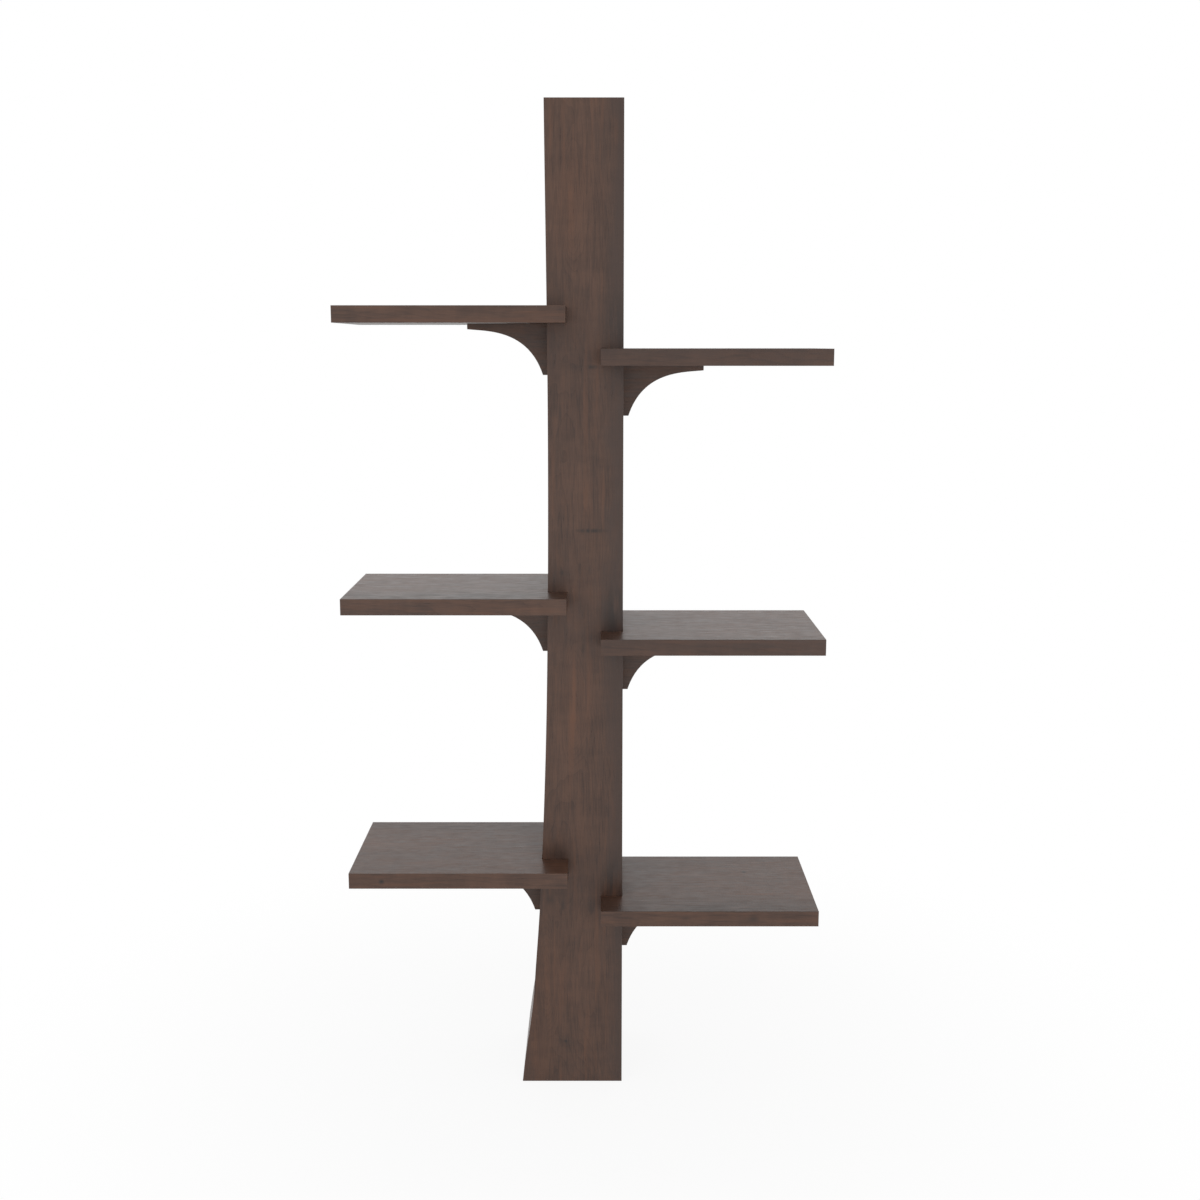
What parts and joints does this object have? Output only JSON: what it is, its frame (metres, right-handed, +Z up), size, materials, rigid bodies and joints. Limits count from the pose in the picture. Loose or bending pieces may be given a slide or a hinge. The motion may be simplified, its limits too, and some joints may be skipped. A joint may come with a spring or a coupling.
{
  "type": "tree wall shelf",
  "caption": "Tree-shaped wall shelf: a hollow trunk with a flared foot carries staggered notched shelves on curved brackets, and stands on the floor against a wall.",
  "frame": {"origin": "on the floor, under the middle of the whole object's width and depth", "axes": "+Z up along the trunk, +X to the right seen from the room, +Y from the room to the wall"},
  "size_m": [0.738, 0.249, 1.558],
  "materials": {
    "walnut": "dark walnut stain under satin lacquer",
    "bare_wood": "unfinished softwood",
    "steel": "bright zinc plated",
    "cast_zinc": "raw die-cast zinc"
  },
  "bodies": {
    "root": {"trunk_left_side": "walnut", "trunk_right_side": "walnut", "trunk_front_panel": "walnut", "trunk_back_panel": "walnut", "trunk_top_cap": "walnut", "trunk_foot_block": "bare_wood", "trunk_core_low": "bare_wood", "trunk_core_middle": "bare_wood", "trunk_core_high": "bare_wood", "shelf_left_low": "walnut", "shelf_left_middle": "walnut", "shelf_left_high": "walnut", "shelf_right_low": "walnut", "shelf_right_middle": "walnut", "shelf_right_high": "walnut", "bracket_left_low": "walnut", "bracket_left_middle": "walnut", "bracket_left_high": "walnut", "bracket_right_low": "walnut", "bracket_right_middle": "walnut", "bracket_right_high": "walnut", "cam_bolt_left_low_front": "steel", "cam_lock_left_low_front": "cast_zinc", "cam_bolt_left_low_back": "steel", "cam_lock_left_low_back": "cast_zinc", "cam_bolt_left_middle_front": "steel", "cam_lock_left_middle_front": "cast_zinc", "cam_bolt_left_middle_back": "steel", "cam_lock_left_middle_back": "cast_zinc", "cam_bolt_left_high_front": "steel", "cam_lock_left_high_front": "cast_zinc", "cam_bolt_left_high_back": "steel", "cam_lock_left_high_back": "cast_zinc", "cam_bolt_right_low_front": "steel", "cam_lock_right_low_front": "cast_zinc", "cam_bolt_right_low_back": "steel", "cam_lock_right_low_back": "cast_zinc", "cam_bolt_right_middle_front": "steel", "cam_lock_right_middle_front": "cast_zinc", "cam_bolt_right_middle_back": "steel", "cam_lock_right_middle_back": "cast_zinc", "cam_bolt_right_high_front": "steel", "cam_lock_right_high_front": "cast_zinc", "cam_bolt_right_high_back": "steel", "cam_lock_right_high_back": "cast_zinc", "bracket_arm_screw_left_low": "steel", "bracket_leg_screw_left_low": "steel", "bracket_arm_screw_left_middle": "steel", "bracket_leg_screw_left_middle": "steel", "bracket_arm_screw_left_high": "steel", "bracket_leg_screw_left_high": "steel", "bracket_arm_screw_right_low": "steel", "bracket_leg_screw_right_low": "steel", "bracket_arm_screw_right_middle": "steel", "bracket_leg_screw_right_middle": "steel", "bracket_arm_screw_right_high": "steel", "bracket_leg_screw_right_high": "steel", "wall_plate": "steel", "wall_plate_screw_upper": "steel", "wall_plate_screw_lower": "steel"}
  },
  "joints": []
}
